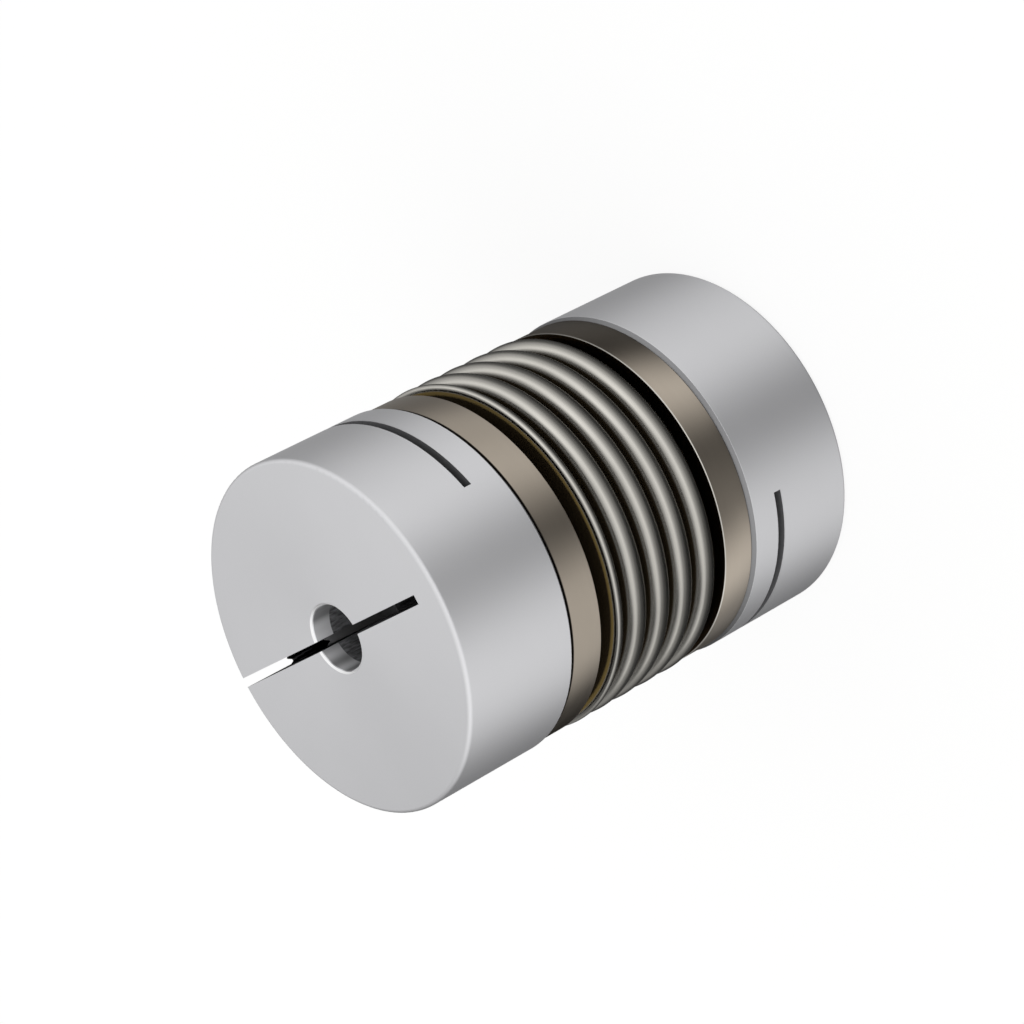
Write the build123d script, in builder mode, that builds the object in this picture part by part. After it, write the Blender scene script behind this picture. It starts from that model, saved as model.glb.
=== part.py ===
from build123d import *

import os
from math import sqrt

# Bellows shaft coupling, in millimetres and degrees.
#
# It stands on the face of its lower hub, with its axis along Z and the origin at the
# middle of that face. Each end is an aluminium clamp hub: a bore for the shaft, an axial
# slot and a cross cut that free one side of the hub as a clamp jaw, and a socket head
# screw that draws the jaw shut. The thin corrugated tube between the hubs sits on a
# spigot at each end, under a steel ring.

# ---- Driving dimensions ----

# Hub
HUB_DIAMETER = 32.0
HUB_FLANGE_LENGTH = 12.1  # the full-diameter length
HUB_FACE_ROUND = 0.4  # round on the outer edge of the end face
HUB_REAR_CHAMFER = 0.45  # chamfer beside the ring
SPIGOT_LEAD_CHAMFER = 0.3
BORE_DIAMETER = 6.0
BORE_CHAMFER = 0.22

# Clamp
JAW_THICKNESS = 8.1  # from the end face to the cross cut
CROSS_CUT_WIDTH = 0.8
CROSS_CUT_START = 23.0  # degrees round the hub, from the middle of the hinge
AXIAL_SLOT_WIDTH = 0.85
HINGE_THICKNESS = 3.0  # metal between the blind end of the slot and the outside

# Clamp screw, an M4 socket head cap screw
SCREW_DIAMETER = 4.0
SCREW_LENGTH = 12.0
SCREW_HEAD_DIAMETER = 7.0
SCREW_HEAD_HEIGHT = 4.0
SCREW_HEAD_ROUND = 0.4
SCREW_TIP_CHAMFER = 0.45
SOCKET_ACROSS_FLATS = 3.0
SOCKET_DEPTH = 2.0
SOCKET_CONE_DEPTH = 0.6
HEAD_RIM = 1.8  # metal beyond the head, towards the slot's mouth
HEAD_SINK = 0.3  # how far the head's corner lies below the hub's outside
HEAD_CLEARANCE = 0.15  # radial, round the head
SHANK_CLEARANCE = 0.25  # radial, round the shank in the jaw
THREAD_CLEARANCE = 0.02  # radial, between the screw and its thread in the hub

# Bellows
WALL = 0.15
TUBE_BORE = 23.4  # inside diameter of the plain tube and of the roots
CREST_STEP = 0.05  # how far the crests lie below the hub's outside
CONVOLUTIONS = 5
PITCH = 2.81
ROOT_ROUND = 0.325  # outside radius of a root
TUBE_LEAD = 0.575  # plain tube between the lower ring and the first convolution
END_CREST_ROUND = 0.4  # outside radius of the narrow crest next to the upper ring
END_ROOT_ROUND = 0.53  # outside radius of the root below that crest

# Ring
RING_STEP = 0.2  # how far the ring's outside lies below the hub's
RING_WIDTH = 3.3
RING_BEVEL = 0.08  # on the bellows side
RING_BORE_CHAMFER = 0.1

BOND_GAP = 0.02  # radial film between spigot, tube and ring

# ---- Sizes that follow ----

hub_radius = HUB_DIAMETER / 2
bore_radius = BORE_DIAMETER / 2
tube_inside = TUBE_BORE / 2
tube_outside = tube_inside + WALL
spigot_radius = tube_inside - BOND_GAP
ring_inside = tube_outside + BOND_GAP
ring_outside = hub_radius - RING_STEP
crest_radius = hub_radius - CREST_STEP
end_length = HUB_FLANGE_LENGTH + RING_WIDTH  # hub, from its face to the spigot's end
corrugated_length = CONVOLUTIONS * PITCH
coupling_length = 2 * (end_length + TUBE_LEAD) + corrugated_length

# A convolution is two flat flanks between a crest's half circle and half a root each side.
# Here are the outside radii of the crests and roots, from the lower end to the upper. The
# last crest is a narrow one, and the plain tube above it takes up what is left.
crest_rounds = [PITCH / 2 - ROOT_ROUND] * (CONVOLUTIONS - 1) + [END_CREST_ROUND]
root_rounds = [ROOT_ROUND] * (CONVOLUTIONS - 1) + [END_ROOT_ROUND, ROOT_ROUND]

# The screw lies across the slot, halfway through the jaw, with its head inside the hub.
screw_offset = hub_radius - HEAD_RIM - SCREW_HEAD_DIAMETER / 2
head_half_chord = sqrt(hub_radius**2 - (hub_radius - HEAD_RIM) ** 2)
head_seat = head_half_chord - HEAD_SINK - SCREW_HEAD_HEIGHT

# Each end is drawn on a plane that lies on the hub's face: its normal points out of the
# coupling, its Y points to the mouth of the slot and its X points to the clamp jaw.
upper_face = Plane(origin=(0, 0, coupling_length), x_dir=(1, 0, 0), z_dir=(0, 0, 1))
lower_face = Plane(origin=(0, 0, 0), x_dir=(-1, 0, 0), z_dir=(0, 0, -1))


def half_section(face):
    """The plane of a half section: its X is the radius and its Y points out of the face."""
    return Plane(face.origin, x_dir=face.x_dir, z_dir=-face.y_dir)


def across_slot(face, distance):
    """The plane across the screw, that far from the slot on the jaw's side."""
    origin = face.from_local_coords((distance, screw_offset, -JAW_THICKNESS / 2))
    return Plane(origin, x_dir=face.y_dir, z_dir=face.x_dir)


def clamp_hub(face):
    """A clamp hub with its end face on the plane and its spigot behind it."""
    inwards = Axis(face.origin, -face.z_dir)
    with BuildPart() as hub:
        # Turned body with its bore
        with BuildSketch(half_section(face)):
            with BuildLine():
                Polyline(
                    (bore_radius, 0),
                    (hub_radius, 0),
                    (hub_radius, -HUB_FLANGE_LENGTH),
                    (spigot_radius, -HUB_FLANGE_LENGTH),
                    (spigot_radius, -end_length),
                    (bore_radius, -end_length),
                    close=True,
                )
            make_face()
        revolve(axis=inwards)

        # Broken edges, chosen by their place along the axis and their radius
        levels = hub.edges().filter_by(GeomType.CIRCLE).group_by(inwards)
        face_rims = levels[0].sort_by(SortBy.RADIUS)
        flange_rims = levels[1].sort_by(SortBy.RADIUS)
        spigot_rims = levels[-1].sort_by(SortBy.RADIUS)
        fillet(face_rims[-1], radius=HUB_FACE_ROUND)
        chamfer([face_rims[0], spigot_rims[0]], length=BORE_CHAMFER)
        chamfer(flange_rims[-1], length=HUB_REAR_CHAMFER)
        chamfer(spigot_rims[-1], length=SPIGOT_LEAD_CHAMFER)

        # Axial slot, open at the screw's side and blind where the jaw hinges
        with BuildSketch(face):
            with Locations((0, HINGE_THICKNESS - hub_radius)):
                Rectangle(AXIAL_SLOT_WIDTH, HUB_DIAMETER, align=(Align.CENTER, Align.MIN))
        extrude(amount=-(JAW_THICKNESS + CROSS_CUT_WIDTH), mode=Mode.SUBTRACT)

        # Cross cut under the jaw: a saw cut to the middle of the hub
        with BuildSketch(face.offset(-JAW_THICKNESS)):
            Rectangle(
                HUB_DIAMETER,
                2 * HUB_DIAMETER,
                rotation=CROSS_CUT_START,
                align=(Align.MIN, Align.CENTER),
            )
        extrude(amount=-CROSS_CUT_WIDTH, mode=Mode.SUBTRACT)

        # Counterbored hole in the jaw, threaded hole in the other half
        with Locations(across_slot(face, hub_radius)):
            CounterBoreHole(
                radius=SCREW_DIAMETER / 2 + SHANK_CLEARANCE,
                counter_bore_radius=SCREW_HEAD_DIAMETER / 2 + HEAD_CLEARANCE,
                counter_bore_depth=hub_radius - head_seat,
                depth=hub_radius,
            )
        with Locations(across_slot(face, 0)):
            Hole(radius=SCREW_DIAMETER / 2 + THREAD_CLEARANCE, depth=hub_radius)
    return hub


def clamp_screw(face):
    """The socket head screw of the hub on that plane, with its head seated in the jaw."""
    seat = across_slot(face, head_seat)
    top = seat.offset(SCREW_HEAD_HEIGHT)
    with BuildPart() as screw:
        with BuildSketch(seat):
            Circle(SCREW_HEAD_DIAMETER / 2)
        extrude(amount=SCREW_HEAD_HEIGHT)
        fillet(screw.edges().sort_by(Axis(seat.origin, seat.z_dir))[-1], radius=SCREW_HEAD_ROUND)
        with BuildSketch(seat):
            Circle(SCREW_DIAMETER / 2)
        extrude(amount=-SCREW_LENGTH)
        chamfer(screw.edges().sort_by(Axis(seat.origin, seat.z_dir))[0], length=SCREW_TIP_CHAMFER)
        with BuildSketch(top):
            RegularPolygon(SOCKET_ACROSS_FLATS / 2, side_count=6, major_radius=False)
        extrude(amount=-SOCKET_DEPTH, mode=Mode.SUBTRACT)
        with Locations(top.offset(-SOCKET_DEPTH)):
            Cone(
                SOCKET_ACROSS_FLATS / 2,
                0,
                SOCKET_CONE_DEPTH,
                rotation=(180, 0, 0),
                align=(Align.CENTER, Align.CENTER, Align.MIN),
                mode=Mode.SUBTRACT,
            )
    return screw


def ring(face):
    """The ring pressed over the tube's end, against the hub on that plane."""
    inwards = Axis(face.origin, -face.z_dir)
    with BuildPart() as band:
        with BuildSketch(face.offset(-HUB_FLANGE_LENGTH)):
            Circle(ring_outside)
            Circle(ring_inside, mode=Mode.SUBTRACT)
        extrude(amount=-RING_WIDTH)
        bellows_side = band.edges().group_by(inwards)[-1].sort_by(SortBy.RADIUS)
        chamfer(bellows_side[-1], length=RING_BEVEL)
        chamfer(bellows_side[0], length=RING_BORE_CHAMFER)
    return band


def flank_length(crest_round, root_round):
    """The flat side between a crest and a root with those outside radii."""
    return crest_radius - crest_round - root_round - tube_outside


def tube_line(skin):
    """The line that deep in the bellows wall, from the lower end to the upper."""
    radius = tube_outside - skin
    lead_end = HUB_FLANGE_LENGTH + RING_WIDTH + TUBE_LEAD
    line = Line((radius, HUB_FLANGE_LENGTH), (radius, lead_end))
    for number, crest_round in enumerate(crest_rounds):
        below, above = root_rounds[number : number + 2]
        turn = -90 if number == 0 else -180
        root = JernArc(line @ 1, line % 1, below + skin, turn)
        flank = Line(root @ 1, root @ 1 + root % 1 * flank_length(crest_round, below))
        crest = JernArc(flank @ 1, flank % 1, crest_round - skin, 180)
        line = Line(crest @ 1, crest @ 1 + crest % 1 * flank_length(crest_round, above))
    root = JernArc(line @ 1, line % 1, root_rounds[-1] + skin, -90)
    return Line(root @ 1, (radius, coupling_length - HUB_FLANGE_LENGTH))


def bellows():
    """The corrugated tube: round crests and tighter roots joined by flat flanks."""
    with BuildPart() as tube:
        with BuildSketch(Plane.XZ):
            with BuildLine():
                outer_end = tube_line(0)
                inner_end = tube_line(WALL)
                Line(outer_end @ 1, inner_end @ 1)
                Line((tube_outside, HUB_FLANGE_LENGTH), (tube_inside, HUB_FLANGE_LENGTH))
            make_face()
        revolve(axis=Axis.Z)
    return tube


os.makedirs("parts", exist_ok=True)
for end, face in (("upper", upper_face), ("lower", lower_face)):
    for name, piece in (
        ("hub", clamp_hub(face)),
        ("clamp_screw", clamp_screw(face)),
        ("ring", ring(face)),
    ):
        piece.part.label = f"{end}_{name}"
        export_step(piece.part, f"parts/{end}_{name}.step")

tube = bellows()
tube.part.label = "bellows"
export_step(tube.part, "parts/bellows.step")
print(f"coupling length {coupling_length:.2f} mm")
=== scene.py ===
"""Bellows coupling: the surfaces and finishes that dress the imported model.

Each piece is a surface worked out in metres in the model's own frame: Z is the shaft
axis, +Y points to the mouths of the clamp slots and the clamp screws, and the lower
hub's end face lies on Z = 0.
"""

import math

import bmesh
import bpy
import numpy as np
from bpy.props import FloatProperty, FloatVectorProperty, IntProperty, PointerProperty
from mathutils import Matrix, Vector

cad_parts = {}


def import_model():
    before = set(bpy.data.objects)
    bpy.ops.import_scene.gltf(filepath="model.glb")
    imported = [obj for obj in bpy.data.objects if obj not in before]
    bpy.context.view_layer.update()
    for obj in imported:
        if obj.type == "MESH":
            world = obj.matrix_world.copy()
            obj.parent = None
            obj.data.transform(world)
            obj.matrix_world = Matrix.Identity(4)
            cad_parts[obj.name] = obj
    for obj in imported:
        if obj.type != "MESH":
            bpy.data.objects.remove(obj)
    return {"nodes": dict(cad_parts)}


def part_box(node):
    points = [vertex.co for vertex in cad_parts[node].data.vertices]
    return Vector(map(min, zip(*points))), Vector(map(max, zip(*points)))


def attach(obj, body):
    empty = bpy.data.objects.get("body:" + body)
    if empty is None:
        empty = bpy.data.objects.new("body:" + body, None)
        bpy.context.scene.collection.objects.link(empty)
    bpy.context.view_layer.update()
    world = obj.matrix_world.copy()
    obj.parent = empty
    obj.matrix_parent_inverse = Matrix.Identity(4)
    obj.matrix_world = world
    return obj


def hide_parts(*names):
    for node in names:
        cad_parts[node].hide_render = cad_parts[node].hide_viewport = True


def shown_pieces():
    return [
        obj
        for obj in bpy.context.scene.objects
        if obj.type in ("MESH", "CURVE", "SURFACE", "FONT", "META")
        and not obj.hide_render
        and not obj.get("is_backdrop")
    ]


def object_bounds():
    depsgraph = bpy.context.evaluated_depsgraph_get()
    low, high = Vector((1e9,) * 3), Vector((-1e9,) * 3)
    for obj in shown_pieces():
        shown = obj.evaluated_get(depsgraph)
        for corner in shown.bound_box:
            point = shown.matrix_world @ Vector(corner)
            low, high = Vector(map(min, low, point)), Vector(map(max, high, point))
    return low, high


bl_info = {
    "name": "Bellows Coupling",
    "version": (1, 0, 0),
    "blender": (4, 5, 0),
    "location": "View3D > Sidebar > Coupling",
    "description": "Dresses the packed bellows coupling with turned, formed and threaded surfaces",
    "category": "Object",
}

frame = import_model()
CAD_BOX = [list(corner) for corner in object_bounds()]

MM = 0.001
BODY = "root"
SIDES = {"upper": 1.0, "lower": -1.0}  # the way each hub's end face looks along Z


def linear(code):
    """The linear RGBA of an sRGB hex colour."""
    values = np.array([int(code[i : i + 2], 16) for i in (1, 3, 5)]) / 255
    values = np.where(values <= 0.04045, values / 12.92, ((values + 0.055) / 1.055) ** 2.4)
    return (*(float(value) for value in values), 1.0)


def length(name, millimetres, description):
    """A length property, given in millimetres and kept in metres."""
    return FloatProperty(
        name=name,
        description=description,
        default=millimetres * MM,
        min=0.0,
        precision=6,
        unit="LENGTH",
    )


def colour(name, code, description):
    """A colour property with an sRGB hex default."""
    return FloatVectorProperty(
        name=name, description=description, default=linear(code), size=4, subtype="COLOR"
    )


def share(name, value, description):
    """A number from 0 to 1."""
    return FloatProperty(
        name=name, description=description, default=value, min=0.0, max=1.0, subtype="FACTOR"
    )


def camera_angle(name, degrees, description):
    """An angle of the camera's, given in degrees and kept in radians."""
    return FloatProperty(
        name=name, description=description, default=math.radians(degrees), subtype="ANGLE"
    )


class HubSettings(bpy.types.PropertyGroup):
    """Sizes and finish of the two clamp hubs."""

    face_round: length("Face round", 0.4, "Round on the outer edge of the end face")
    rear_chamfer: length("Rear chamfer", 0.45, "Chamfer beside the ring")
    bore_radius: length("Bore radius", 3.0, "Radius of the shaft bore")
    bore_chamfer: length("Bore chamfer", 0.22, "Chamfer at the mouth of the bore")
    bright_bore: length("Bright bore", 2.0, "Finish-bored depth, past which the bore is as drilled")
    head_hole: length("Head hole", 3.65, "Radius of the counterbore for the screw's head")
    shank_hole: length("Shank hole", 2.25, "Radius of the clearance hole in the jaw")
    thread_hole: length("Thread hole", 2.02, "Radius of the threaded hole, over its thread")
    slot_width: length("Slot width", 0.85, "Width of the axial slot")
    slot_depth: length("Slot depth", 8.9, "Depth of the axial slot below the end face")
    slot_start: length("Slot start", 13.0, "From the axis to the blind end of the axial slot")
    cut_width: length("Cut width", 0.8, "Width of the cross cut at the bottom of the slot")
    colour: colour("Aluminium", "#E0E0E2", "Satin clear-anodised aluminium")
    # Fresh cut: near white, partly a painted highlight on the bore's chamfer
    cut: colour("Fresh cut", "#FAFAFA", "Bright chamfer at the mouth of the bore")
    # Bored mouth: its light and dark bands are painted reflections
    bored: colour("Bored mouth", "#DCDCDE", "Bright wall at the mouth of the bore")
    # Drilled bore: dark colour painted as the shade deep in the bore
    drilled: colour("Drilled bore", "#626264", "Dull wall left by the drill")
    # Sawn walls: matt, and painted darker as the shade in the slot and the cut
    sawn: colour("Sawn walls", "#6C6C6E", "Dull walls left by the slitting saw")
    roughness: share("Roughness", 0.52, "Roughness of the satin surface")
    turning: length("Turning", 0.16, "Spacing of the fine lines left by the lathe")
    grain: length("Grain", 0.11, "Size of the satin grain")


class RingSettings(bpy.types.PropertyGroup):
    """Sizes and finish of the two steel rings."""

    bore_radius: length("Bore radius", 11.87, "Inside radius of the ring")
    bevel: length("Bevel", 0.08, "Chamfer on the outer edge, on the bellows side")
    bore_bevel: length("Bore bevel", 0.1, "Chamfer on the inner edge, on the bellows side")
    edge: length("Edge break", 0.03, "Round on every turned edge")
    colour: colour("Bronzed steel", "#ACA295", "Brown oxide on turned steel")
    # Heat tint: dark brown painted as the shade on the ring's face by the bellows
    painted_face_shade: colour("Heat tint", "#3E3428", "Brown heat tint on the ring's bellows side")
    # Worn edge: a painted highlight along the bevel by the bellows
    edge_highlight: colour("Worn edge", "#DCD8D0", "Bare steel along the edge by the bellows")
    roughness: share("Roughness", 0.3, "Roughness of the turned, oxidised surface")
    turning: length("Turning", 0.12, "Spacing of the fine lines left by the lathe")


class BellowsSettings(bpy.types.PropertyGroup):
    """Sizes and finish of the corrugated tube."""

    convolutions: IntProperty(
        name="Convolutions", description="Number of crests", default=5, min=1, max=40
    )
    wall: length("Wall", 0.15, "Thickness of the tube's wall")
    tube_radius: length("Tube radius", 11.85, "Outside radius of the plain tube and the roots")
    pitch: length("Pitch", 2.81, "From one convolution to the next")
    root_round: length("Root round", 0.325, "Outside radius of a root")
    lead: length("Lead", 0.575, "Plain tube between the lower ring and the first convolution")
    end_crest: length("End crest", 0.4, "Outside radius of the narrow crest at the upper end")
    end_root: length("End root", 0.53, "Outside radius of the root below that crest")
    colour: colour("Stainless steel", "#C9C6BF", "Bright formed stainless steel")
    # Folds: dark brown painted as the shade deep in the folds
    folds: colour("Folds", "#30281C", "Brown heat tint deep in the folds")
    # Straw tint: a painted golden reflection of the rings on the flanks that face them
    painted_reflection: colour("Straw tint", "#8A7648", "Straw heat tint on the flanks that face the rings")
    roughness: share("Roughness", 0.24, "Roughness of the formed surface")
    drawing: length("Draw lines", 0.14, "Spacing of the faint lines round the tube")


class ScrewSettings(bpy.types.PropertyGroup):
    """Sizes and finish of the two M4 socket head clamp screws."""

    thread_radius: length("Thread radius", 2.0, "Major radius of the thread")
    pitch: length("Pitch", 0.7, "Thread pitch")
    thread_start: length("Thread start", 0.14, "Where a crest crosses the slot's mouth side")
    head_height: length("Head height", 4.0, "Height of the head")
    head_round: length("Head round", 0.4, "Round on the head's top edge")
    tip_chamfer: length("Tip chamfer", 0.45, "Chamfer on the tip")
    knurls: IntProperty(
        name="Knurls", description="Ridges round the head", default=40, min=8, max=80
    )
    knurl_depth: length("Knurl depth", 0.09, "Depth of the knurling")
    socket: length("Socket", 3.0, "Hexagon socket across its flats")
    socket_depth: length("Socket depth", 2.0, "Depth of the socket's flats")
    socket_cone: length("Socket cone", 0.6, "Drill point below the socket")
    colour: colour("Black oxide", "#232326", "Black oxide on alloy steel")
    roughness: share("Roughness", 0.34, "Roughness of the oiled oxide")


class StudioSettings(bpy.types.PropertyGroup):
    """The camera, the floor and the lights."""

    floor: colour("Floor", "#F2F2F1", "Pale table top")
    whiteness: share("Whiteness", 0.85, "How much of the table shows as plain white")
    azimuth: camera_angle("Azimuth", 1.1, "Where the camera stands, from -Y towards +X")
    elevation: camera_angle("Elevation", 36.77, "How high the camera stands")
    roll: camera_angle("Roll", -117.6, "How far the camera leans over")
    distance: length("Distance", 327.9, "From the coupling's middle to the camera")
    aim: FloatVectorProperty(
        name="Aim",
        description="The point at the middle of the view, from the coupling's middle",
        default=(0.00255, 0.00036, 0.0005),
        subtype="TRANSLATION",
        unit="LENGTH",
    )
    lens: FloatProperty(
        name="Lens", description="Focal length", default=133.0, min=1.0, unit="CAMERA"
    )


# ---- Meshes ----


def new_piece(name, points, faces, sharp_degrees=None):
    """A mesh object from whole arrays of points and quads, smooth up to the given angle."""
    mesh = bpy.data.meshes.new(name)
    mesh.from_pydata(np.asarray(points).tolist(), [], np.asarray(faces).tolist())
    mesh.polygons.foreach_set("use_smooth", np.ones(len(mesh.polygons), bool))
    if sharp_degrees is not None:
        mesh.set_sharp_from_angle(angle=math.radians(sharp_degrees))
    mesh.update()
    piece = bpy.data.objects.new(name, mesh)
    bpy.context.scene.collection.objects.link(piece)
    return piece


def quad_grid(rows, columns, closed_rows):
    """Corner numbers of the quads between rows of points that run round an axis.

    Point (i, j) is number i * columns + j. Columns always close on themselves, and rows
    do when closed_rows is set.
    """
    first = np.arange(rows if closed_rows else rows - 1)
    i, j = np.meshgrid(first, np.arange(columns), indexing="ij")
    i2 = (i + 1) % rows
    j2 = (j + 1) % columns
    corners = (i * columns + j, i * columns + j2, i2 * columns + j2, i2 * columns + j)
    return np.stack(corners, axis=-1).reshape(-1, 4)


def turned(name, outline, segments, sharp_degrees=None):
    """A closed outline turned about Z.

    outline holds (radius, height) pairs that run counter-clockwise. The point at turn a is
    (radius cos a, radius sin a, height), with a in equal steps round the circle.
    """
    turn = np.linspace(0, 2 * math.pi, segments, endpoint=False)
    radius, height = outline[:, :1], outline[:, 1:]
    points = np.stack(
        (radius * np.cos(turn), radius * np.sin(turn), height + 0 * turn), axis=-1
    )
    faces = quad_grid(len(outline), segments, closed_rows=True)
    return new_piece(name, points.reshape(-1, 3), faces, sharp_degrees)


def rounded_outline(corners, radii, steps):
    """A closed outline with an arc of its own radius at each corner.

    The arc touches both sides: its centre lies on the corner's bisector, at the radius
    divided by the sine of half the corner's angle.
    """
    corners = np.asarray(corners, float)
    arcs = []
    for here, radius in enumerate(radii):
        corner = corners[here]
        back = corners[here - 1] - corner
        ahead = corners[(here + 1) % len(corners)] - corner
        back, ahead = back / np.linalg.norm(back), ahead / np.linalg.norm(ahead)
        bisector = back + ahead
        bisector /= np.linalg.norm(bisector)
        half = math.acos(np.clip(back @ ahead, -1, 1)) / 2
        centre = corner + bisector * radius / math.sin(half)
        start = corner + back * radius / math.tan(half) - centre
        end = corner + ahead * radius / math.tan(half) - centre
        sweep = math.atan2(start[0] * end[1] - start[1] * end[0], start @ end)
        angle = np.linspace(0, sweep, steps + 1)[:, None]
        across = np.array((-start[1], start[0]))
        arcs.append(centre + start * np.cos(angle) + across * np.sin(angle))
    return np.concatenate(arcs)


def arc(centre, radius, start, end, steps):
    """Points (radius, height) on a circle from one angle in degrees to another."""
    angle = np.radians(np.linspace(start, end, steps + 1))
    centre = np.asarray(centre, float)
    return centre + radius * np.stack((np.cos(angle), np.sin(angle)), axis=-1)


# ---- Materials ----


def add_node(tree, kind, settings=(), inputs=()):
    """Adds a node, sets its attributes, and sets or links its inputs by name or number."""
    node = tree.nodes.new(kind)
    for name, value in dict(settings).items():
        setattr(node, name, value)
    for name, value in dict(inputs).items():
        if isinstance(value, bpy.types.NodeSocket):
            tree.links.new(value, node.inputs[name])
        else:
            node.inputs[name].default_value = value
    return node


def calculate(tree, operation, *values):
    """The result socket of a Math node."""
    return add_node(
        tree, "ShaderNodeMath", {"operation": operation}, dict(enumerate(values))
    ).outputs[0]


def new_material(name):
    """An empty node material, its tree and the socket of its surface."""
    material = bpy.data.materials.new(name)
    material.use_nodes = True
    tree = material.node_tree
    tree.nodes.clear()
    output = add_node(tree, "ShaderNodeOutputMaterial")
    return material, tree, output.inputs["Surface"]


def lathe_space(tree):
    """Places on the coupling: the point, its radius, its depth and the way round there.

    The radius is the distance from the shaft axis, and the depth is the distance below
    the nearer end face.
    """
    point = add_node(tree, "ShaderNodeTexCoord").outputs["Object"]
    parts = add_node(tree, "ShaderNodeSeparateXYZ", inputs={0: point}).outputs
    middle = (CAD_BOX[0][2] + CAD_BOX[1][2]) / 2
    off_middle = calculate(tree, "ABSOLUTE", calculate(tree, "SUBTRACT", parts["Z"], middle))
    depth = calculate(tree, "SUBTRACT", CAD_BOX[1][2] - middle, off_middle)
    flat = add_node(tree, "ShaderNodeCombineXYZ", inputs={0: parts["X"], 1: parts["Y"]})
    radius = add_node(
        tree, "ShaderNodeVectorMath", {"operation": "LENGTH"}, {0: flat.outputs[0]}
    ).outputs["Value"]
    back = calculate(tree, "MULTIPLY", parts["Y"], -1.0)
    way_round = add_node(
        tree, "ShaderNodeCombineXYZ", inputs={0: back, 1: parts["X"]}
    ).outputs[0]
    return point, radius, depth, way_round


def lathe_lines(tree, radius, depth, spacing):
    """Fine uneven lines round the shaft axis: noise that depends on radius and depth alone."""
    place = add_node(tree, "ShaderNodeCombineXYZ", inputs={0: radius, 1: depth}).outputs[0]
    return add_node(
        tree,
        "ShaderNodeTexNoise",
        {"noise_dimensions": "2D"},
        {"Vector": place, "Scale": 1 / spacing, "Detail": 3.0, "Roughness": 0.65},
    ).outputs["Fac"]


def speckle(tree, point, size, detail=2.0):
    """Even noise with features of the given size."""
    return add_node(
        tree,
        "ShaderNodeTexNoise",
        inputs={"Vector": point, "Scale": 1 / size, "Detail": detail},
    ).outputs["Fac"]


def spread(tree, value, low, high):
    """A 0 to 1 value stretched to a range."""
    return add_node(
        tree, "ShaderNodeMapRange", inputs={"Value": value, "To Min": low, "To Max": high}
    ).outputs["Result"]


def bump(tree, height, depth, below=None):
    """A bump of the given depth in metres, laid over another bump if there is one."""
    inputs = {"Height": height, "Distance": depth, "Strength": 1.0}
    if below is not None:
        inputs["Normal"] = below
    return add_node(tree, "ShaderNodeBump", inputs=inputs).outputs["Normal"]


def step_up(tree, value, edge, width):
    """0 below the edge and 1 above it, over the given width."""
    return add_node(
        tree,
        "ShaderNodeMapRange",
        {"interpolation_type": "SMOOTHSTEP"},
        {"Value": value, "From Min": edge - width / 2, "From Max": edge + width / 2},
    ).outputs["Result"]


def between(tree, value, low, high):
    """1 where the value lies between two limits, and 0 elsewhere."""
    above = calculate(tree, "GREATER_THAN", value, low)
    return calculate(tree, "MULTIPLY", above, calculate(tree, "LESS_THAN", value, high))


def blend_colours(tree, factor, first, second):
    """A mix of two colours."""
    node = add_node(tree, "ShaderNodeMix", {"data_type": "RGBA"}, {"Factor": factor})
    for socket, value in (("A_Color", first), ("B_Color", second)):
        target = next(item for item in node.inputs if item.identifier == socket)
        if isinstance(value, bpy.types.NodeSocket):
            tree.links.new(value, target)
        else:
            target.default_value = value
    return next(item for item in node.outputs if item.identifier == "Result_Color")


def shaded(code, factor):
    """A linear colour made darker or lighter."""
    return (*(value * factor for value in code[:3]), 1.0)


def inverse(tree, value):
    """1 where the value is 0, and 0 where it is 1."""
    return calculate(tree, "SUBTRACT", 1.0, value)


def cover(tree, surface, inputs):
    """Puts a Principled shader with the given inputs on a material's surface."""
    shader = add_node(tree, "ShaderNodeBsdfPrincipled", inputs=inputs)
    tree.links.new(shader.outputs[0], surface)


def bore_wall(tree, point, radius, depth, way_round):
    """Where the bore's wall is, where it is as drilled, and its colour.

    The finish-bored mouth is bright, with painted reflections as light and dark bands along the
    axis. Past it the drill has left the wall rough and scuffed aslant, and its dark colour is
    painted shade deep in the bore.
    """
    hub = bpy.context.scene.coupling_hubs
    wall_skin, wall_fade, drilled_fade = 0.06 * MM, 0.04 * MM, 0.06 * MM
    inside = inverse(tree, step_up(tree, radius, hub.bore_radius + wall_skin, wall_fade))
    # Past the finish-bored depth the wall is painted dark as shade
    drilled = calculate(
        tree, "MULTIPLY", inside, step_up(tree, depth, hub.bright_bore, drilled_fade)
    )
    aslant = add_node(
        tree,
        "ShaderNodeMapping",
        inputs={"Vector": point, "Rotation": (0.0, 0.6, 0.4), "Scale": (1.0, 1.0, 0.25)},
    ).outputs[0]
    scuffs = spread(tree, speckle(tree, aslant, 0.22 * MM, detail=4.0), -1.0, 2.0)
    scuffed = blend_colours(tree, scuffs, shaded(hub.drilled, 0.5), shaded(hub.drilled, 1.8))
    # Painted reflections: light and dark bands round the bore's mouth, along the axis
    around = add_node(
        tree, "ShaderNodeVectorMath", {"operation": "NORMALIZE"}, {0: way_round}
    ).outputs["Vector"]
    bands = spread(tree, speckle(tree, around, 0.5, detail=0.0), -1.0, 2.0)
    bored = blend_colours(tree, bands, shaded(hub.bored, 0.35), shaded(hub.bored, 1.2))
    return inside, drilled, blend_colours(tree, drilled, bored, scuffed)


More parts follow.
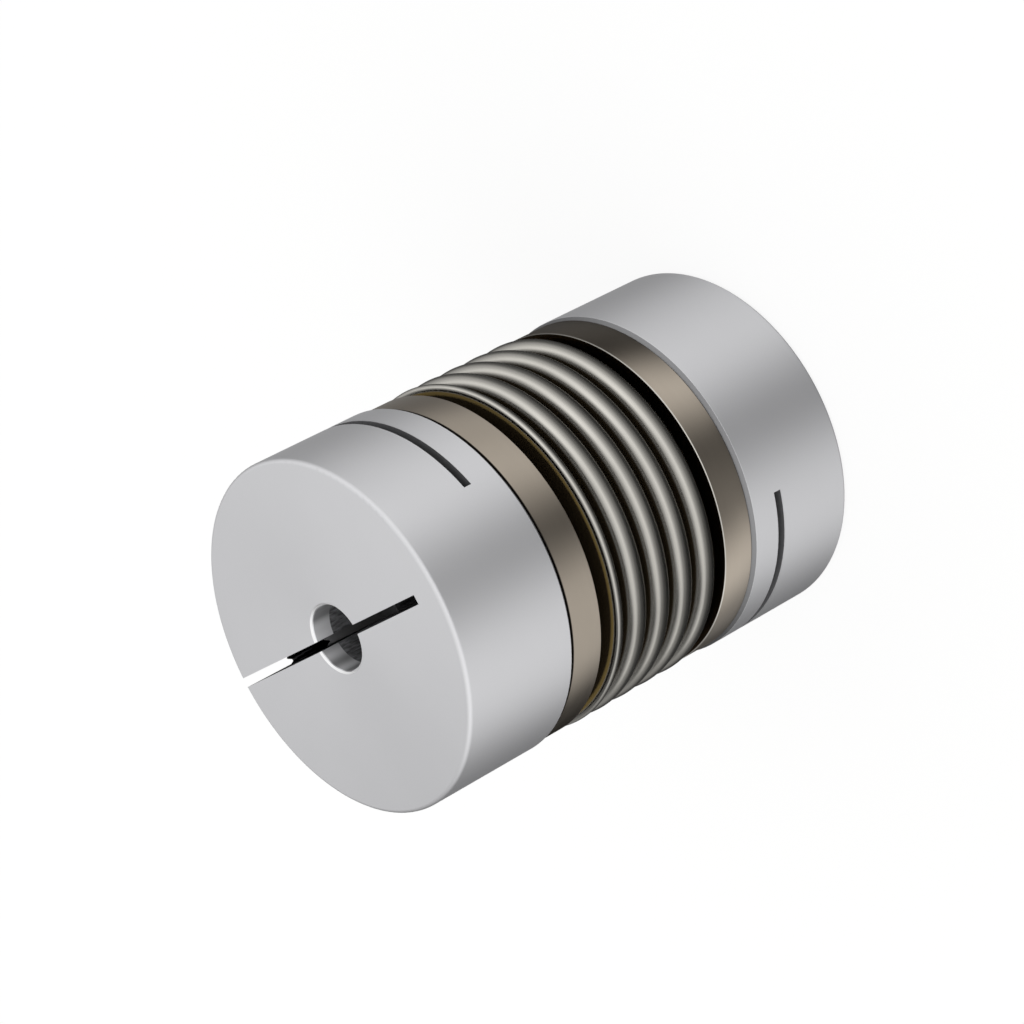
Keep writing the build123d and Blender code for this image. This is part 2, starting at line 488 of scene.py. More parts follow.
def sawn_walls(tree, point, radius, depth, skin):
    """Where the saw's walls are: within the slot's width, and between the cut's faces.

    They reach a skin's depth past the walls. The end face and the hub's side are left out.
    """
    hub = bpy.context.scene.coupling_hubs
    outer = CAD_BOX[1][0]
    bottom = hub.slot_depth + skin
    parts = add_node(tree, "ShaderNodeSeparateXYZ", inputs={0: point}).outputs
    slot_half = hub.slot_width / 2 + skin
    in_slot = calculate(
        tree,
        "MULTIPLY",
        between(tree, parts["X"], -slot_half, slot_half),
        between(tree, parts["Y"], -hub.slot_start - skin, outer),
    )
    in_slot = calculate(tree, "MULTIPLY", in_slot, between(tree, depth, 2 * skin, bottom))
    in_cut = calculate(
        tree,
        "MULTIPLY",
        between(tree, depth, hub.slot_depth - hub.cut_width - skin, bottom),
        calculate(tree, "LESS_THAN", radius, outer - 2 * skin),
    )
    return calculate(tree, "MAXIMUM", in_slot, in_cut)


def satin_aluminium():
    """Turned aluminium, satin blasted and clear anodised.

    The lathe's lines run round the axis, so its gloss stretches across them; the satin grain
    softens it. The bore and the sawn walls are bare and matt. Past the bore's mouth, in the slot
    and in the cut they are painted darker as shade, the bore's mouth carries painted reflection
    bands, its chamfer a partly painted highlight, and the chamfer beside the ring is painted dark
    as shade.
    """
    hub = bpy.context.scene.coupling_hubs
    material, tree, surface = new_material("satin anodised aluminium")
    point, radius, depth, way_round = lathe_space(tree)
    lines = lathe_lines(tree, radius, depth, hub.turning)
    grain = speckle(tree, point, hub.grain)
    clouds = speckle(tree, point, 5 * MM)
    skin = 0.02 * MM
    inside, drilled, bore = bore_wall(tree, point, radius, depth, way_round)
    sawn = sawn_walls(tree, point, radius, depth, skin)
    satin = blend_colours(tree, clouds, shaded(hub.colour, 0.97), hub.colour)
    # The sawn walls are painted darker as the shade in the slot and the cut
    satin = blend_colours(tree, sawn, satin, hub.sawn)

    # The chamfer beside the ring is painted dark as the shade in the groove between hub and ring
    flange = CAD_BOX[1][2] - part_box("upper_ring")[1].z
    chamfer = between(tree, depth, flange - hub.rear_chamfer + skin, flange + skin)
    satin = blend_colours(tree, chamfer, satin, shaded(hub.colour, 0.4))

    # The chamfer at the mouth of the bore is freshly cut, and its near-white colour is partly a
    # painted highlight
    mouth = calculate(
        tree,
        "MULTIPLY",
        between(tree, depth, skin / 2, hub.bore_chamfer + skin),
        between(tree, radius, hub.bore_radius + skin, hub.bore_radius + hub.bore_chamfer),
    )
    satin = blend_colours(tree, mouth, satin, hub.cut)

    rough = spread(tree, grain, hub.roughness - 0.03, hub.roughness + 0.03)
    drilled_rough = 0.6
    roughness = add_node(
        tree,
        "ShaderNodeMix",
        {"data_type": "FLOAT"},
        {"Factor": drilled, 2: rough, 3: drilled_rough},
    ).outputs[0]
    grain_depth, line_depth = 0.0012 * MM, 0.0016 * MM
    cover(
        tree,
        surface,
        {
            "Base Color": blend_colours(tree, inside, satin, bore),
            "Metallic": spread(tree, calculate(tree, "MAXIMUM", sawn, inside), 1.0, 0.4),
            "Roughness": roughness,
            "Anisotropic": 0.3,
            "Anisotropic Rotation": 0.25,
            "Tangent": way_round,
            "Normal": bump(tree, grain, grain_depth, bump(tree, lines, line_depth)),
        },
    )
    return material


def bronzed_steel():
    """Turned steel with a thin brown oxide.

    The oxide is smooth, so the lathe's lines show as sharp light and dark bands, and it
    takes the light a little warmer in some places than in others.
    """
    ring = bpy.context.scene.coupling_rings
    material, tree, surface = new_material("bronzed turned steel")
    point, radius, depth, way_round = lathe_space(tree)
    lines = lathe_lines(tree, radius, depth, ring.turning)
    clouds = speckle(tree, point, 4 * MM)
    tint = blend_colours(tree, clouds, shaded(ring.colour, 0.93), shaded(ring.colour, 1.05))

    # Painted shade along the joint with the hub, dark brown painted shade on the face by the
    # bellows, and a painted highlight along the edge of that face
    low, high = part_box("upper_ring")
    joint_end = CAD_BOX[1][2] - high.z + 0.05 * MM
    open_side = CAD_BOX[1][2] - low.z
    open_face = open_side - 0.01 * MM
    # Painted shade: a dark band along the joint with the hub
    joint_shade = calculate(tree, "LESS_THAN", depth, joint_end)
    tint = blend_colours(tree, joint_shade, tint, shaded(ring.colour, 0.2))
    # Painted shade: the face by the bellows takes a dark brown
    bellows_face_shade = calculate(tree, "GREATER_THAN", depth, open_face)
    tint = blend_colours(tree, bellows_face_shade, tint, ring.painted_face_shade)
    # Painted highlight: a light line along the bevel by the bellows
    edge_highlight = between(tree, depth, open_side - ring.bevel, open_face)
    tint = blend_colours(tree, edge_highlight, tint, ring.edge_highlight)
    line_depth = 0.0008 * MM
    cover(
        tree,
        surface,
        {
            "Base Color": tint,
            "Metallic": 1.0,
            "Roughness": spread(tree, lines, ring.roughness - 0.04, ring.roughness + 0.04),
            "Anisotropic": 0.5,
            "Anisotropic Rotation": 0.25,
            "Tangent": way_round,
            "Normal": bump(tree, lines, line_depth),
        },
    )
    return material


def formed_stainless():
    """Thin stainless steel tube, formed bright over its crests.

    Forming leaves it almost polished, with faint lines round the tube and a slightly yellow steel
    tone. Deep in the folds it is painted dark brown as shade, and a painted golden reflection of
    the rings runs round each flank that faces a ring.
    """
    bellows = bpy.context.scene.coupling_bellows
    material, tree, surface = new_material("formed stainless steel")
    point, radius, depth, _ = lathe_space(tree)
    lines = lathe_lines(tree, radius, depth, bellows.drawing)
    clouds = speckle(tree, point, 2.5 * MM)
    bright = blend_colours(
        tree, clouds, shaded(bellows.colour, 0.95), shaded(bellows.colour, 1.02)
    )
    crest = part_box("bellows")[1].x
    # The folds are painted dark brown as shade, and are less metallic
    fold_edge, fold_fade = crest - 0.66 * MM, 0.4 * MM
    out_of_fold = step_up(tree, radius, fold_edge, fold_fade)

    # A painted golden reflection of the ring runs round each flank that faces a ring
    reflection_low, low_fade = crest - 0.85 * MM, 0.25 * MM
    reflection_high, high_fade = crest - 0.5 * MM, 0.2 * MM
    band = calculate(
        tree,
        "MULTIPLY",
        step_up(tree, radius, reflection_low, low_fade),
        inverse(tree, step_up(tree, radius, reflection_high, high_fade)),
    )
    first_crest = CAD_BOX[1][2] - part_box("upper_ring")[0].z + 1.9 * MM
    facing_ring = calculate(tree, "LESS_THAN", depth, first_crest)
    painted_reflection = calculate(tree, "MULTIPLY", facing_ring, band)
    steel = blend_colours(tree, out_of_fold, bellows.folds, bright)
    # bare is 1 outside the painted shade in the folds and the painted reflection band
    bare = calculate(tree, "SUBTRACT", out_of_fold, painted_reflection)
    line_depth = 0.0004 * MM
    cover(
        tree,
        surface,
        {
            "Base Color": blend_colours(tree, painted_reflection, steel, bellows.painted_reflection),
            "Metallic": spread(tree, bare, 0.3, 1.0),
            "Roughness": spread(tree, lines, bellows.roughness - 0.03, bellows.roughness + 0.03),
            "Normal": bump(tree, lines, line_depth),
        },
    )
    return material


def black_oxide_steel():
    """Black oxide on alloy steel: a thin dark film, oiled, over rolled and forged metal."""
    screw = bpy.context.scene.coupling_screws
    material, tree, surface = new_material("black oxide steel")
    point = add_node(tree, "ShaderNodeTexCoord").outputs["Object"]
    grain = speckle(tree, point, 0.12 * MM)
    clouds = speckle(tree, point, 1.5 * MM)
    dark, light = shaded(screw.colour, 0.75), shaded(screw.colour, 1.3)
    grain_depth = 0.001 * MM
    cover(
        tree,
        surface,
        {
            "Base Color": blend_colours(tree, clouds, dark, light),
            "Metallic": 1.0,
            "Roughness": spread(tree, grain, screw.roughness - 0.05, screw.roughness + 0.08),
            "Normal": bump(tree, grain, grain_depth),
        },
    )
    return material


def finish(piece, node, material):
    """Gives a piece its material and its body, and hides the node it stands for."""
    piece.data.materials.clear()
    piece.data.materials.append(material)
    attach(piece, BODY)
    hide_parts(node)


# ---- Hubs ----


def hub_surfaces(points, end, side):
    """The hub's round surfaces: the gap to each point, the normal there and a cosine.

    A triangle lies on a surface when the cosine between its own normal and the surface's
    is higher. The cosine is low on the face round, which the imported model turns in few
    steps.

    A cylinder's normal is the offset from its axis over its radius, turned inwards in a
    hole; the face round's is the offset from a circle inside the edge; a chamfer's is
    halfway between the radius and the axis.
    """
    hub = bpy.context.scene.coupling_hubs
    hub_box, ring_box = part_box(f"{end}_hub"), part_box(f"{end}_ring")
    outer = hub_box[1].x
    face = hub_box[side > 0].z
    flange = abs(ring_box[side < 0].z - face)
    screw_low, screw_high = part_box(f"{end}_clamp_screw")
    screw_y, screw_z = (screw_low.y + screw_high.y) / 2, (screw_low.z + screw_high.z) / 2

    radius = np.hypot(points[:, 0], points[:, 1])
    depth = side * (face - points[:, 2])
    radial = points * (1, 1, 0) / np.maximum(radius, 1e-9)[:, None]
    outwards = np.array((0, 0, side))
    edge = outer - hub.face_round
    over, under = radius - edge, hub.face_round - depth
    least, far_away = -0.001 * MM, 1.0
    at_round = (over >= least) & (under >= least)
    round_gap = np.where(at_round, np.hypot(over, under), far_away)
    mouth = hub.bore_radius + hub.bore_chamfer
    rear = outer + flange - hub.rear_chamfer
    round_way = over[:, None] * radial + under[:, None] * outwards
    fine, coarse = 0.94, 0.4
    surfaces = [
        (radius - outer, radial, fine),
        (radius - hub.bore_radius, -radial, fine),
        (round_gap - hub.face_round, round_way, coarse),
        (radius + depth - mouth, outwards - radial, fine),
        (radius + depth - rear, radial - outwards, fine),
    ]
    offset = points * (0, 1, 1) - (0, screw_y, screw_z)
    from_screw = np.linalg.norm(offset, axis=1)
    for hole in (hub.head_hole, hub.shank_hole, hub.thread_hole):
        surfaces.append((from_screw - hole, -offset, fine))
    return surfaces


def unit(vectors):
    """Rows of vectors brought to a length of 1."""
    lengths = np.linalg.norm(vectors, axis=1)[:, None]
    return vectors / np.maximum(lengths, 1e-20)


def turned_hub(end, side):
    """The hub's packed surface, welded, with the normals of its true round surfaces.

    A corner takes a round surface's normal where its triangle lies on that surface and
    faces much the same way, and its triangle's own normal elsewhere.
    """
    near, weld = 0.02 * MM, 0.0005 * MM
    name = f"{end}_hub_turned"
    mesh = frame["nodes"][f"{end}_hub"].data.copy()
    mesh.name = name
    work = bmesh.new()
    work.from_mesh(mesh)
    bmesh.ops.remove_doubles(work, verts=work.verts, dist=weld)
    work.to_mesh(mesh)
    work.free()

    points = np.empty(len(mesh.vertices) * 3, np.float32)
    mesh.vertices.foreach_get("co", points)
    points = points.reshape(-1, 3).astype(float)
    corners = np.empty(len(mesh.loops), np.int32)
    mesh.loops.foreach_get("vertex_index", corners)
    corners = corners.reshape(-1, 3)
    first, second, third = (points[corners[:, number]] for number in range(3))
    flat = unit(np.cross(second - first, third - first))
    normals = np.repeat(flat[:, None, :], 3, axis=1)
    for gap, direction, least_cosine in hub_surfaces(points, end, side):
        direction = unit(direction)
        touching = (np.abs(gap[corners]) < near).all(axis=1)
        cosines = (direction[corners] * flat[:, None, :]).sum(axis=2)
        chosen = touching & (cosines.min(axis=1) > least_cosine)
        normals[chosen] = direction[corners[chosen]]
    mesh.polygons.foreach_set("use_smooth", np.ones(len(mesh.polygons), bool))
    mesh.normals_split_custom_set(normals.reshape(-1, 3).tolist())
    piece = bpy.data.objects.new(name, mesh)
    bpy.context.scene.collection.objects.link(piece)
    return piece


# ---- Rings ----


def turned_ring(end, side):
    """A ring: a rectangle with a chamfered bellows side and broken edges, turned about Z."""
    ring = bpy.context.scene.coupling_rings
    low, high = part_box(f"{end}_ring")
    outer, inner = high.x, ring.bore_radius
    hub_side, bellows_side = (high.z, low.z) if side > 0 else (low.z, high.z)
    corners = [
        (inner, hub_side),
        (inner, bellows_side + side * ring.bore_bevel),
        (inner + ring.bore_bevel, bellows_side),
        (outer - ring.bevel, bellows_side),
        (outer, bellows_side + side * ring.bevel),
        (outer, hub_side),
    ]
    if side < 0:
        corners.reverse()
    outline = rounded_outline(corners, [ring.edge] * len(corners), steps=4)
    return turned(f"{end}_ring_turned", outline, segments=360, sharp_degrees=40)


# ---- Bellows ----


def wall_line(inset):
    """One surface of the bellows wall from its lower end up, as (radius, height) pairs.

    Half circles at the crests and roots are joined by flat flanks. The last crest is a
    narrow one, and the plain tube above it takes up what is left. inset is how far the
    surface lies inside the outer one: it widens the roots and narrows the crests.
    """
    bellows = bpy.context.scene.coupling_bellows
    low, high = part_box("bellows")
    ring_low, ring_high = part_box("lower_ring")
    root_steps, crest_steps = 12, 24
    wide = bellows.convolutions - 1
    crests = [bellows.pitch / 2 - bellows.root_round] * wide + [bellows.end_crest]
    roots = [bellows.root_round] * wide + [bellows.end_root, bellows.root_round]
    height = low.z + ring_high.z - ring_low.z + bellows.lead
    line = [np.array([(bellows.tube_radius - inset, low.z)])]
    for number, root in enumerate(roots):
        first, last = number == 0, number == len(crests)
        height += 0.0 if first else root
        centre = (bellows.tube_radius + root, height)
        start, end = (180 if first else 270), (180 if last else 90)
        line.append(arc(centre, root + inset, start, end, root_steps))
        if not last:
            crest = crests[number]
            height += root + crest
            centre = (high.x - crest, height)
            line.append(arc(centre, crest - inset, -90, 90, crest_steps))
            height += crest
    line.append(np.array([(bellows.tube_radius - inset, high.z)]))
    return np.concatenate(line)


def formed_bellows():
    """The corrugated tube: its outer line up and its inner line down, turned about Z."""
    outer = wall_line(0.0)
    inner = wall_line(bpy.context.scene.coupling_bellows.wall)
    outline = np.concatenate((outer, inner[::-1]))
    return turned("bellows_formed", outline, segments=256, sharp_degrees=60)


# ---- Clamp screws ----


def screw_lines(reach, steps_round):
    """The screw's rows from tip to socket, as distance along it and radius round it.

    The thread's radius falls from each crest at 60 degrees: the distance from the nearest
    crest, less a sixteenth of the pitch, times the root of three, down to its root. Its
    crests advance one pitch a turn. The socket's radius is its flat's distance over the
    cosine of the angle from the middle of that flat.
    """
    screw = bpy.context.scene.coupling_screws
    turn = np.linspace(0, 2 * math.pi, steps_round, endpoint=False)
    tip, top = reach
    seat = top - screw.head_height
    skin = 0.015 * MM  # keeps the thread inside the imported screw
    major, pitch = screw.thread_radius - skin, screw.pitch
    root_depth = 0.3125 * pitch * math.sqrt(3)
    rows_a_turn = 12
    rows = []

    def row(along, radius):
        rows.append((np.full_like(turn, along), radius + 0 * turn))

    # Tip and thread, which runs out at full diameter under the head
    flat_tip = major - screw.tip_chamfer
    for factor in (0.0, 0.5, 1.0):
        row(tip, factor * (flat_tip - 0.05 * MM))
    plain = 0.2 * MM
    along = np.arange(tip + 0.01 * MM, seat - 0.12 * MM, pitch / rows_a_turn)
    phase = (along[:, None] - screw.thread_start) / pitch - turn / (2 * math.pi)
    from_crest = np.abs(phase - np.round(phase)) * pitch
    cut = np.clip((from_crest - pitch / 16) * math.sqrt(3), 0, root_depth)
    run_out = np.clip((seat - along - plain) / pitch, 0, 1)[:, None]
    chamfer = flat_tip + (along - tip)[:, None]
    radius = np.minimum(major - cut * run_out, chamfer)
    rows.extend((np.full_like(turn, place), radii) for place, radii in zip(along, radius))

    # Fillet and bearing face under the head
    for below, outside in ((0.1, 0.0), (0.03, 0.04), (0.0, 0.15)):
        row(seat - below * MM, major + outside * MM)
    low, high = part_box("upper_clamp_screw")
    head = (high.y - low.y) / 2
    head_chamfer = 0.3 * MM
    row(seat, head - head_chamfer)

    # Knurled side: ridges from the chamfer up, which fade out over the round
    ridge = 0.5 - 0.5 * np.cos(turn * screw.knurls)
    side_start, side_end = seat + head_chamfer, top - screw.head_round
    chamfer_rows = (seat + 0.04 * MM, seat + 0.2 * MM)
    for place in (*chamfer_rows, side_start, side_end - 0.25 * MM, side_end):
        chamfer_in = max(0.0, side_start - place)
        row(place, head - chamfer_in - screw.knurl_depth * ridge)
    for degrees in (20, 40, 60, 75, 90):
        angle = math.radians(degrees)
        round_in = screw.head_round * (1 - math.cos(angle))
        knurl = math.cos(angle) * screw.knurl_depth * ridge
        row(side_end + screw.head_round * math.sin(angle), head - round_in - knurl)

    # Hexagon socket, with a broken edge and a drill point
    sixth, flat = math.pi / 3, screw.socket / 2
    hexagon = flat / np.cos((turn + sixth / 2) % sixth - sixth / 2)
    lip = flat / math.cos(sixth / 2) + 0.06 * MM
    bottom = top - screw.socket_depth
    row(top, lip + 0.3 * MM)
    row(top, lip)
    for place in (top - 0.12 * MM, top - 0.2 * MM, bottom):
        row(place, hexagon)
    row(bottom - 0.02 * MM, 0.97 * flat)
    row(bottom - screw.socket_cone, 0.0)
    along, radius = (np.array(values) for values in zip(*rows))
    return along, radius, turn


def threaded_screw(end, side):
    """The clamp screw: rows of points round an axis along X, its head on the jaw's side.

    Round the axis, angle 0 points to +Y and a quarter turn to the hub's own face, so both
    screws are the same right-hand screw.
    """
    low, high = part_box(f"{end}_clamp_screw")
    reach = (low.x, high.x) if side > 0 else (-high.x, -low.x)
    along, radius, turn = screw_lines(reach, steps_round=240)
    points = np.stack(
        (
            side * along,
            (low.y + high.y) / 2 + radius * np.cos(turn),
            (low.z + high.z) / 2 + side * radius * np.sin(turn),
        ),
        axis=-1,
    )
    faces = quad_grid(*along.shape, closed_rows=False)
    piece = new_piece(f"{end}_clamp_screw_threaded", points.reshape(-1, 3), faces)
    close_poles(piece.data)
    return piece


def close_poles(mesh):
    """Joins the points that coincide at a screw's two ends.

    It also turns the faces outwards and marks the sharp edges.
    """
    weld, sharp_degrees = 0.0001 * MM, 33
    work = bmesh.new()
    work.from_mesh(mesh)
    bmesh.ops.remove_doubles(work, verts=work.verts, dist=weld)
    bmesh.ops.recalc_face_normals(work, faces=work.faces)
    work.to_mesh(mesh)
    work.free()
    mesh.set_sharp_from_angle(angle=math.radians(sharp_degrees))


# ---- Stage ----


def floor():
    """A flat pale table top under the coupling."""
    studio = bpy.context.scene.coupling_studio
    reach, gap = 3.0, 0.02 * MM
    x, y = np.meshgrid((-reach, reach), (-reach, reach))
    points = np.stack((x, y, 0 * x - gap), axis=-1).reshape(-1, 3)
    table = new_piece("floor", points, [(0, 1, 3, 2)])
    material, tree, surface = new_material("pale table top")
    shader = add_node(
        tree,
        "ShaderNodeBsdfPrincipled",
        inputs={
            "Base Color": studio.floor,
            "Roughness": 0.9,
            "Specular IOR Level": 0.0,
        },
    )
    # Seen directly or in a reflection the table is mostly plain white, so that the
    # coupling's shadow stays faint
    white = add_node(tree, "ShaderNodeEmission", inputs={"Strength": 1.0})
    rays = add_node(tree, "ShaderNodeLightPath").outputs
    seen = calculate(tree, "MAXIMUM", rays["Is Camera Ray"], rays["Is Glossy Ray"])
    seen = calculate(tree, "MAXIMUM", seen, rays["Is Transmission Ray"])
    mixed = add_node(
        tree,
        "ShaderNodeMixShader",
        inputs={
            0: calculate(tree, "MULTIPLY", seen, studio.whiteness),
            1: shader.outputs[0],
            2: white.outputs[0],
        },
    )
    tree.links.new(mixed.outputs[0], surface)
    table.data.materials.append(material)
    table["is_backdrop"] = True
    table.visible_glossy = False


def glow_ramp(tree, position, stops):
    """A smooth grey ramp through brightnesses, each named by its azimuth in degrees."""
    node = add_node(tree, "ShaderNodeValToRGB", inputs={"Fac": position})
    ramp = node.color_ramp
    ramp.interpolation = "EASE"
    while len(ramp.elements) < len(stops):
        ramp.elements.new(1.0)
    for element, (degrees, value) in zip(ramp.elements, stops.items()):
        element.position = degrees / 360 + 0.5
        element.color = (value, value, value, 1.0)
    return node.outputs["Color"]


def tent_glow(tree, radius, middle, belts):
    """The tent's brightness by direction: belts of ramps, blended on the way up."""
    point = add_node(tree, "ShaderNodeTexCoord").outputs["Object"]
    way = add_node(
        tree, "ShaderNodeVectorMath", {"operation": "SUBTRACT"}, {0: point, 1: middle}
    ).outputs["Vector"]
    parts = add_node(tree, "ShaderNodeSeparateXYZ", inputs={0: way}).outputs
    left = calculate(tree, "MULTIPLY", parts["X"], -1.0)
    back = calculate(tree, "MULTIPLY", parts["Y"], -1.0)
    azimuth = calculate(tree, "ARCTAN2", left, back)
    azimuth = calculate(tree, "MULTIPLY_ADD", azimuth, 0.5 / math.pi, 0.5)
    elevation = calculate(tree, "ARCSINE", calculate(tree, "DIVIDE", parts["Z"], radius))
    (last, stops), *others = belts.items()
    glow = glow_ramp(tree, azimuth, stops)
    for degrees, stops in others:
        halfway, width = math.radians((last + degrees) / 2), math.radians(degrees - last)
        risen = step_up(tree, elevation, halfway, width)
        glow = blend_colours(tree, risen, glow, glow_ramp(tree, azimuth, stops))
        last = degrees
    return glow


def tent(name, radius, belts, receivers, outermost=False):
    """A round light tent that only the metal's gloss sees.

    Its brightness depends on the direction from its middle. belts holds, for some
    elevations, the brightness at some azimuths, all in degrees, and the tent blends
    smoothly from one belt up to the next. Azimuths run from -180 to 180, with 0 at -Y and
    90 at -X. A second reflection sees a quarter of it, which keeps the folds deep. All but
    the outermost tent are clear to the gloss of the pieces that they don't light.
    """
    rows, columns, second_share = 25, 48, 0.25
    middle = (0.0, 0.0, (CAD_BOX[0][2] + CAD_BOX[1][2]) / 2)
    turn = np.linspace(0, 2 * math.pi, columns, endpoint=False)
    climb = np.radians(np.linspace(-90, 90, rows))[:, None]
    points = radius * np.stack(
        (
            np.cos(climb) * np.cos(turn),
            np.cos(climb) * np.sin(turn),
            np.sin(climb) + 0 * turn,
        ),
        axis=-1,
    )
    faces = quad_grid(rows, columns, closed_rows=False)
    shell = new_piece(name, (points + middle).reshape(-1, 3), faces)

    material, tree, surface = new_material(name)
    glow = tent_glow(tree, radius, middle, belts)
    bounces = add_node(tree, "ShaderNodeLightPath").outputs["Glossy Depth"]
    first = calculate(tree, "LESS_THAN", bounces, 1.5)
    strength = spread(tree, first, second_share, 1.0)
    result = add_node(
        tree, "ShaderNodeEmission", inputs={"Color": glow, "Strength": strength}
    ).outputs[0]
    if not outermost:
        clear = add_node(tree, "ShaderNodeBsdfTransparent").outputs[0]
        result = add_node(tree, "ShaderNodeAddShader", inputs={0: result, 1: clear}).outputs[0]
    tree.links.new(result, surface)
    material.cycles.emission_sampling = "NONE"
    shell.data.materials.append(material)
    shell.visible_camera = False
    shell.visible_diffuse = False
    shell.visible_shadow = False
    shell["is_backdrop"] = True
    group = bpy.data.collections.new(name + " receivers")
    for piece in receivers:
        group.objects.link(piece)
    shell.light_linking.receiver_collection = group


def hub_tent(receivers):
    """The light in the hubs' and the upper ring's gloss: bright both sides of -Y and above."""
    level = {
        -180: 0.08,
        -150: 0.26,
        -118: 0.22,
        -78: 0.72,
        -42: 0.96,
        0: 0.15,
        42: 0.86,
        78: 0.86,
        116: 0.06,
        150: 0.0,
        180: 0.08,
    }
    belts = {
        -72: {-180: 0.1, 180: 0.1},
        -50: level,
        5: level,
        35: {-180: 0.72, -140: 0.96, -60: 1.15, 80: 1.3, 140: 0.44, 180: 0.72},
        80: {-180: 0.9, 180: 0.9},
    }
    tent("tent for the hubs and the upper ring", 0.12, belts, receivers)


def lower_ring_tent(receivers):
    """The light in the lower ring's gloss: bright both sides of -Y, dark between and behind."""
    level = {
        -180: 0.04,
        -110: 0.12,
        -82: 0.06,
        -42: 1.1,
        0: 0.15,
        38: 0.3,
        80: 1.15,
        120: 0.3,
        150: 0.02,
        180: 0.04,
    }
    belts = {5: level, 45: {-180: 0.6, -80: 0.7, 0: 1.0, 80: 0.8, 180: 0.6}}
    tent("tent for the lower ring", 0.15, belts, receivers)


def bellows_tent(receivers):
    """The light in the bellows' gloss: a bright belt that dips towards -X, dark below."""
    belts = {
        -60: {-180: 0.0, -60: 0.04, 0: 0.05, 60: 0.02, 180: 0.0},
        -30: {-180: 0.05, -60: 0.16, 0: 0.24, 60: 0.08, 120: 0.05, 180: 0.05},
        3: {-180: 0.3, -105: 0.6, 0: 0.55, 55: 0.34, 79: 0.26, 105: 0.36, 180: 0.3},
        12: {-180: 0.32, -105: 0.85, 0: 0.78, 55: 0.62, 105: 0.95, 130: 0.3, 180: 0.32},
        25: {-180: 0.35, -110: 1.15, 0: 1.12, 60: 0.95, 104: 0.55, 122: 0.15, 180: 0.35},
        43: {-180: 0.1, -125: 0.25, -60: 1.35, 0: 0.85, 60: 0.85, 95: 0.05, 180: 0.1},
        63: {-180: 0.1, -90: 0.4, 0: 0.5, 90: 0.25, 180: 0.1},
        85: {-180: 0.22, 180: 0.22},
    }
    tent("tent for the bellows", 0.8, belts, receivers, outermost=True)


def soft_lamp(name, place, size, power):
    """A square area lamp that faces the coupling's foot, unseen in any gloss."""
    lamp = bpy.data.lights.new(name, "AREA")
    lamp.size = size
    lamp.energy = power
    holder = bpy.data.objects.new(name, lamp)
    bpy.context.scene.collection.objects.link(holder)
    backwards = Vector(place).normalized()
    facing = backwards.to_track_quat("Z", "Y").to_matrix().to_4x4()
    holder.matrix_world = Matrix.Translation(place) @ facing
    holder.visible_camera = False
    holder.visible_glossy = False


def camera():
    """The camera: on a sphere round the coupling's middle, aimed beside it and rolled."""
    studio = bpy.context.scene.coupling_studio
    low, high = (Vector(corner) for corner in CAD_BOX)
    middle = (low + high) / 2
    back = Vector(
        (
            math.sin(studio.azimuth) * math.cos(studio.elevation),
            -math.cos(studio.azimuth) * math.cos(studio.elevation),
            math.sin(studio.elevation),
        )
    )
    place = middle + back * studio.distance
    look = (middle + Vector(studio.aim) - place).normalized()
    level = look.cross(Vector((0, 0, 1))).normalized()
    upright = level.cross(look)
    right = level * math.cos(studio.roll) + upright * math.sin(studio.roll)
    up = right.cross(look)
    data = bpy.data.cameras.new("camera")
    data.sensor_width = 36.0
    data.lens = studio.lens
    data.clip_start = 0.01
    data.clip_end = 20.0
    holder = bpy.data.objects.new("camera", data)
    turn = Matrix((right, up, -look)).transposed().to_4x4()
    holder.matrix_world = Matrix.Translation(place) @ turn
    bpy.context.scene.collection.objects.link(holder)
    bpy.context.scene.camera = holder


def world():
    """An even white room that lights only what is matt."""
    room = bpy.data.worlds.new("white room")
    room.use_nodes = True
    tree = room.node_tree
    tree.nodes.clear()
    light = add_node(
        tree, "ShaderNodeBackground", inputs={"Color": (1, 1, 1, 1), "Strength": 1.0}
    )
    add_node(tree, "ShaderNodeOutputWorld", inputs={"Surface": light.outputs[0]})
    bpy.context.scene.world = room
    room.cycles_visibility.glossy = False


# ---- Operators ----


class COUPLING_OT_hubs(bpy.types.Operator):
    """Dress both clamp hubs"""

    bl_idname = "coupling.hubs"
    bl_label = "Clamp Hubs"

    def execute(self, context):
        material = satin_aluminium()
        for end, side in SIDES.items():
            finish(turned_hub(end, side), f"{end}_hub", material)
        return {"FINISHED"}


class COUPLING_OT_rings(bpy.types.Operator):
    """Turn both rings"""

    bl_idname = "coupling.rings"
    bl_label = "Rings"

    def execute(self, context):
        material = bronzed_steel()
        for end, side in SIDES.items():
            finish(turned_ring(end, side), f"{end}_ring", material)
        return {"FINISHED"}


class COUPLING_OT_bellows(bpy.types.Operator):
    """Form the corrugated tube"""

    bl_idname = "coupling.bellows"
    bl_label = "Bellows"

    def execute(self, context):
        finish(formed_bellows(), "bellows", formed_stainless())
        return {"FINISHED"}


class COUPLING_OT_screws(bpy.types.Operator):
    """Cut both clamp screws"""

    bl_idname = "coupling.screws"
    bl_label = "Clamp Screws"

    def execute(self, context):
        material = black_oxide_steel()
        for end, side in SIDES.items():
            piece = threaded_screw(end, side)
            finish(piece, f"{end}_clamp_screw", material)
        return {"FINISHED"}


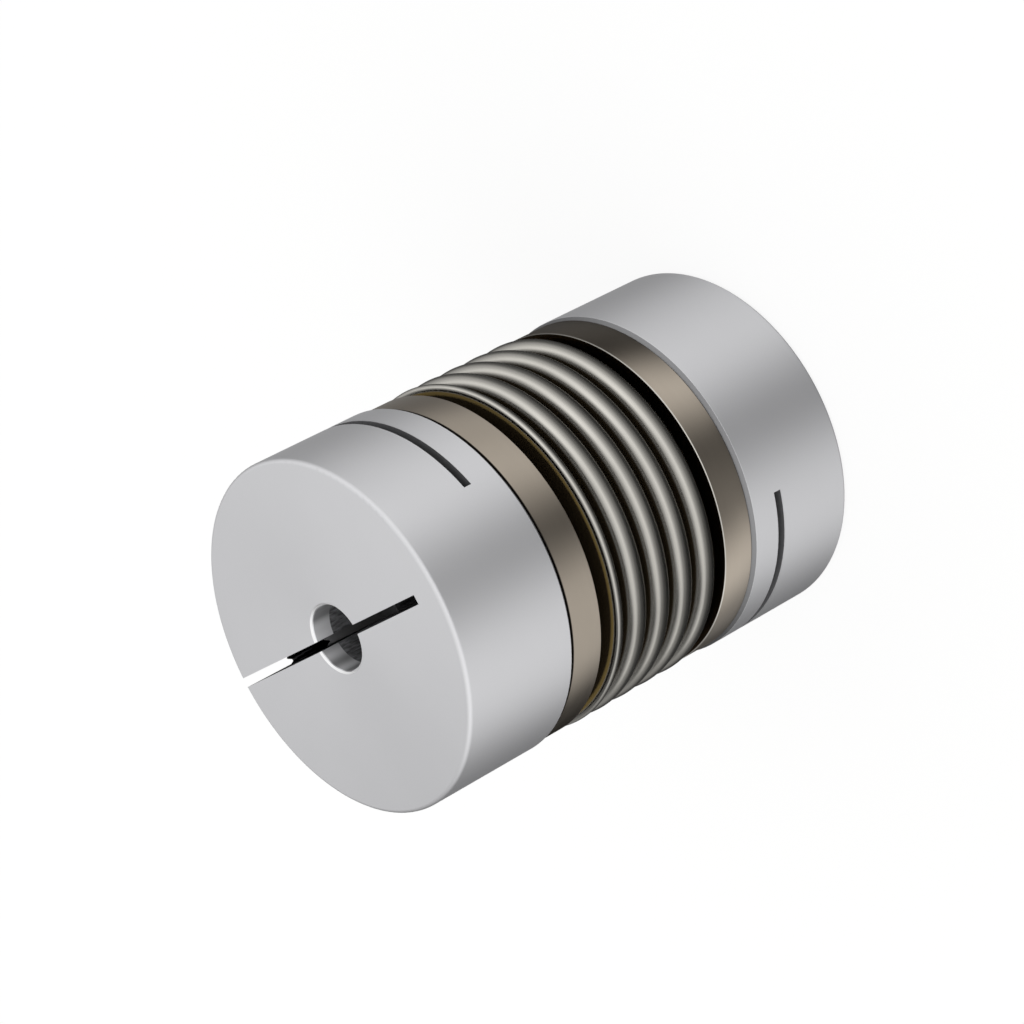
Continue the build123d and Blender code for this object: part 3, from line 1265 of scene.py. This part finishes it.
class COUPLING_OT_stage(bpy.types.Operator):
    """Set the floor, the light tents, the lamp and the camera"""

    bl_idname = "coupling.stage"
    bl_label = "Stage"

    def execute(self, context):
        pieces = {piece.name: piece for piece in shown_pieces()}
        formed = [pieces.pop("bellows_formed")]
        lower_ring = [pieces.pop("lower_ring_turned")]
        floor()
        world()
        hub_tent(pieces.values())
        lower_ring_tent(lower_ring)
        bellows_tent(formed)
        soft_lamp("key lamp", place=(-0.5, -0.3, 0.9), size=0.8, power=3.0)
        camera()
        context.scene.view_settings.view_transform = "Standard"
        return {"FINISHED"}


class VIEW3D_PT_coupling(bpy.types.Panel):
    """Lists the coupling's pieces and its stage"""

    bl_label = "Bellows Coupling"
    bl_space_type = "VIEW_3D"
    bl_region_type = "UI"
    bl_category = "Coupling"

    def draw(self, context):
        for operator in OPERATORS:
            self.layout.operator(operator.bl_idname)


SETTINGS = {
    "coupling_hubs": HubSettings,
    "coupling_rings": RingSettings,
    "coupling_bellows": BellowsSettings,
    "coupling_screws": ScrewSettings,
    "coupling_studio": StudioSettings,
}
OPERATORS = (
    COUPLING_OT_hubs,
    COUPLING_OT_rings,
    COUPLING_OT_bellows,
    COUPLING_OT_screws,
    COUPLING_OT_stage,
)


def register():
    """Registers the settings, the operators and the panel."""
    for name, settings in SETTINGS.items():
        bpy.utils.register_class(settings)
        setattr(bpy.types.Scene, name, PointerProperty(type=settings))
    for item in (*OPERATORS, VIEW3D_PT_coupling):
        bpy.utils.register_class(item)


def unregister():
    """Takes everything back that register() added."""
    for item in (VIEW3D_PT_coupling, *reversed(OPERATORS)):
        bpy.utils.unregister_class(item)
    for name, settings in reversed(SETTINGS.items()):
        delattr(bpy.types.Scene, name)
        bpy.utils.unregister_class(settings)


def main():
    """Builds every piece and the stage."""
    register()
    bpy.ops.coupling.hubs()
    bpy.ops.coupling.rings()
    bpy.ops.coupling.bellows()
    bpy.ops.coupling.screws()
    bpy.ops.coupling.stage()


if __name__ == "__main__":
    main()
